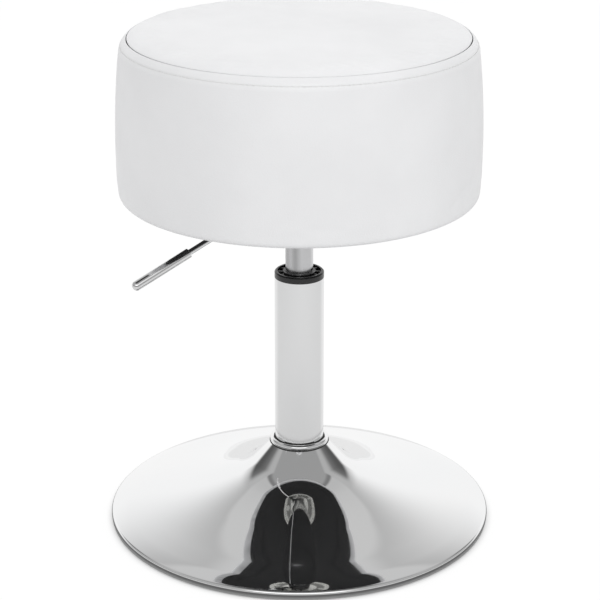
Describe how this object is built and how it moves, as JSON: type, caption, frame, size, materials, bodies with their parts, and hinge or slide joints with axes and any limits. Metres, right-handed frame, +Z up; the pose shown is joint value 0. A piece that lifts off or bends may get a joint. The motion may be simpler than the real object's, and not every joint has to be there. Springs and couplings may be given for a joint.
{
  "type": "swivel bar stool",
  "caption": "Backless round stool with a thick upholstered drum seat on a swivelling, height-adjustable gas column and a trumpet-shaped disc base.",
  "frame": {"origin": "point on the floor under the column's axis, at the centre of the base", "axes": "+Z up along the column; -Y faces the viewer of the picture; the height lever points to -X and -Y"},
  "size_m": [0.3936, 0.3936, 0.5127],
  "materials": {
    "chrome": "polished",
    "white_leather": "satin",
    "satin_cylinder": "satin",
    "black_plastic": "satin",
    "black_rubber": "matte",
    "black_paint": "satin",
    "bright_steel": "polished",
    "zinc_plate": "satin",
    "aluminium": "satin",
    "plywood": "matte",
    "foam": "matte",
    "dust_cloth": "matte"
  },
  "bodies": {
    "base": {"floor_ring": "black_rubber", "base_shell": "chrome", "base_plate": "black_paint", "column_foot": "black_paint", "base_bolts": "zinc_plate", "base_washers": "zinc_plate", "column_tube": "chrome", "neck_ring": "chrome", "column_bush": "black_plastic", "bearing_lower_race": "bright_steel", "bearing_balls": "bright_steel", "bearing_cage": "black_plastic"},
    "swivel_rod": {"piston_rod": "bright_steel", "piston_head": "aluminium", "piston_ring": "black_rubber", "piston_nut": "bright_steel", "bearing_upper_race": "bright_steel", "rod_bumper": "black_rubber", "rod_clip": "bright_steel", "thrust_washer": "bright_steel"},
    "seat": {"pressure_tube": "satin_cylinder", "rod_guide": "aluminium", "rod_seal": "black_rubber", "valve_body": "aluminium", "seat_hub": "black_paint", "seat_plate": "zinc_plate", "plate_screws": "zinc_plate", "tee_nuts": "zinc_plate", "lever_bracket": "zinc_plate", "lever_pivot_pin": "bright_steel", "pivot_clips": "bright_steel", "bottom_board": "plywood", "foam_core": "foam", "side_foam": "foam", "top_pad": "foam", "side_cover": "white_leather", "top_cover": "white_leather", "dust_cover": "dust_cloth"},
    "lever": {"lever_rocker": "black_paint", "lever_rod": "chrome", "lever_grip": "chrome"},
    "release_button": {"release_pin": "bright_steel"}
  },
  "joints": [
    {"name": "seat_swivel", "type": "hinge", "parent": "base", "child": "swivel_rod", "pos_m": [0, 0, 0.0325], "axis": [0, 0, 1], "continuous": true},
    {"name": "seat_height", "type": "slide", "parent": "swivel_rod", "child": "seat", "axis": [0, 0, 1], "range_m": [-0.025, 0.105]},
    {"name": "lever_lift", "type": "hinge", "parent": "seat", "child": "lever", "pos_m": [-0.02626, -0.0145, 0.33], "axis": [-0.4833, 0.8755, 0], "range_deg": [0, 6.5]},
    {"name": "button_press", "type": "slide", "parent": "seat", "child": "release_button", "axis": [0, 0, -1], "range_m": [0, 0.0036], "stiffness_N_per_m": 2000}
  ],
  "couplings": [
    {"joint": "button_press", "follows": "lever_lift", "m_per_rad": 0.03}
  ]
}
